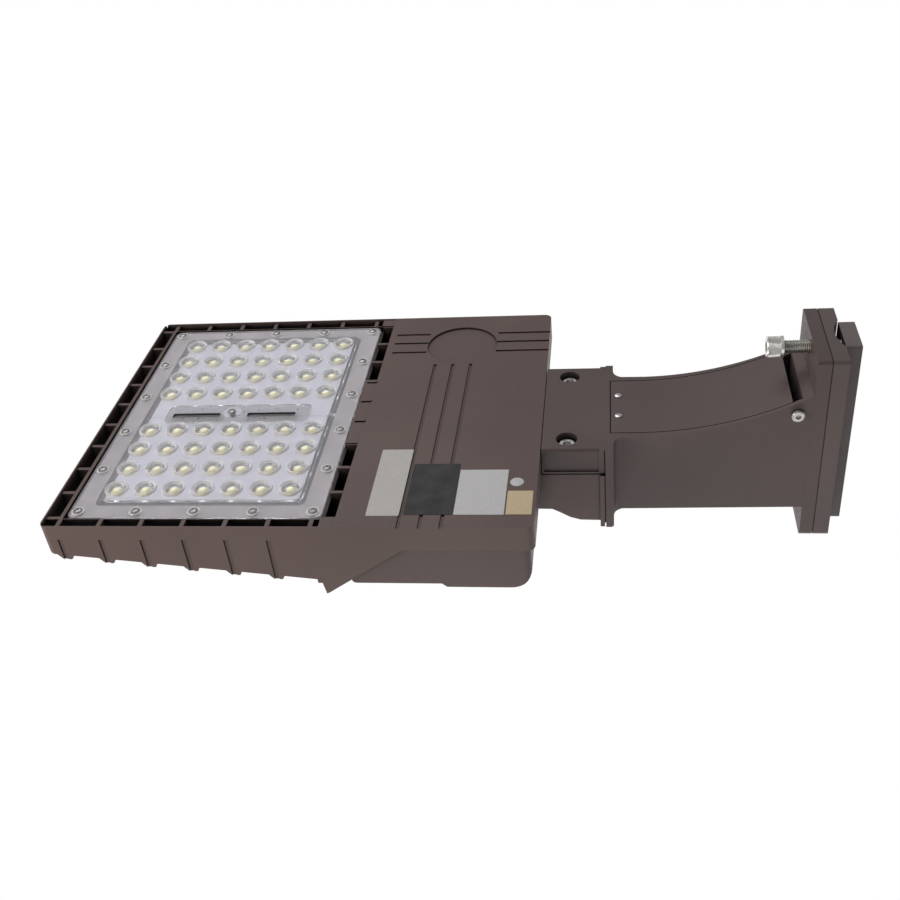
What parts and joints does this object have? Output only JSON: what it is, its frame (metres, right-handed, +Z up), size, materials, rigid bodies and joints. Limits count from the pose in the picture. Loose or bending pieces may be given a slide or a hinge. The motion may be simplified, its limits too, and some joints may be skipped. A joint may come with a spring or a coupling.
{
  "type": "shoebox area light",
  "caption": "Flat rectangular LED area light with a finned head, a driver bay and a short arm that bolts to the side of a pole.",
  "frame": {"origin": "centre of the pole mounting face, on the pole side of the adapter, midway between the two pole bolts", "axes": "+Z up as the light hangs in use, with the lenses facing -Z; +X out from the pole along the arm and the head; +Y across the head"},
  "size_m": [0.602, 0.3, 0.1616],
  "materials": {
    "head_housing": "fine texture powder coat",
    "driver_cover": "fine texture powder coat",
    "cover_gasket": "matte",
    "cover_screws": "satin",
    "lens_plate": "clear moulded polycarbonate",
    "lens_gasket": "matte silicone",
    "lens_screws": "satin",
    "led_board_left": "white solder mask",
    "led_board_right": "white solder mask",
    "led_chips": "phosphor under clear resin",
    "led_driver": "plain",
    "driver_screws": "satin",
    "surge_protector": "matte",
    "terminal_block": "matte",
    "cable_gland": "matte",
    "supply_leads": "smooth sheath",
    "led_leads": "smooth sheath",
    "splice_block": "matte",
    "neck_gasket": "matte",
    "neck_bolt_left": "blackened",
    "neck_bolt_right": "blackened",
    "arm_body": "fine texture powder coat",
    "arm_cover": "fine texture powder coat",
    "arm_cover_screws": "satin",
    "ground_screw": "satin",
    "pole_adapter": "fine texture powder coat",
    "backing_bar": "satin paint",
    "pole_bolt_lower": "satin stainless",
    "pole_bolt_upper": "satin stainless",
    "lock_washer_lower": "satin stainless",
    "lock_washer_upper": "satin stainless"
  },
  "bodies": {
    "fixture": {"head_housing": "head_housing", "driver_cover": "driver_cover", "cover_gasket": "cover_gasket", "cover_screws": "cover_screws", "lens_plate": "lens_plate", "lens_gasket": "lens_gasket", "lens_screws": "lens_screws", "led_board_left": "led_board_left", "led_board_right": "led_board_right", "led_chips": "led_chips", "led_driver": "led_driver", "driver_screws": "driver_screws", "surge_protector": "surge_protector", "terminal_block": "terminal_block", "cable_gland": "cable_gland", "supply_leads": "supply_leads", "led_leads": "led_leads", "splice_block": "splice_block", "neck_gasket": "neck_gasket", "neck_bolt_left": "neck_bolt_left", "neck_bolt_right": "neck_bolt_right", "arm_body": "arm_body", "arm_cover": "arm_cover", "arm_cover_screws": "arm_cover_screws", "ground_screw": "ground_screw", "pole_adapter": "pole_adapter"},
    "pole_bolt_lower": {"pole_bolt_lower": "pole_bolt_lower", "lock_washer_lower": "lock_washer_lower"},
    "pole_bolt_upper": {"pole_bolt_upper": "pole_bolt_upper", "lock_washer_upper": "lock_washer_upper"},
    "backing_bar": {"backing_bar": "backing_bar"}
  },
  "joints": [
    {"name": "lower_bolt_slide", "type": "slide", "parent": "fixture", "child": "pole_bolt_lower", "axis": [-1, 0, 0], "range_m": [0, 0.0188]},
    {"name": "upper_bolt_slide", "type": "slide", "parent": "fixture", "child": "pole_bolt_upper", "axis": [-1, 0, 0], "range_m": [0, 0.0188]},
    {"name": "bar_slide", "type": "slide", "parent": "fixture", "child": "backing_bar", "axis": [-1, 0, 0], "range_m": [0, 0.008]}
  ]
}
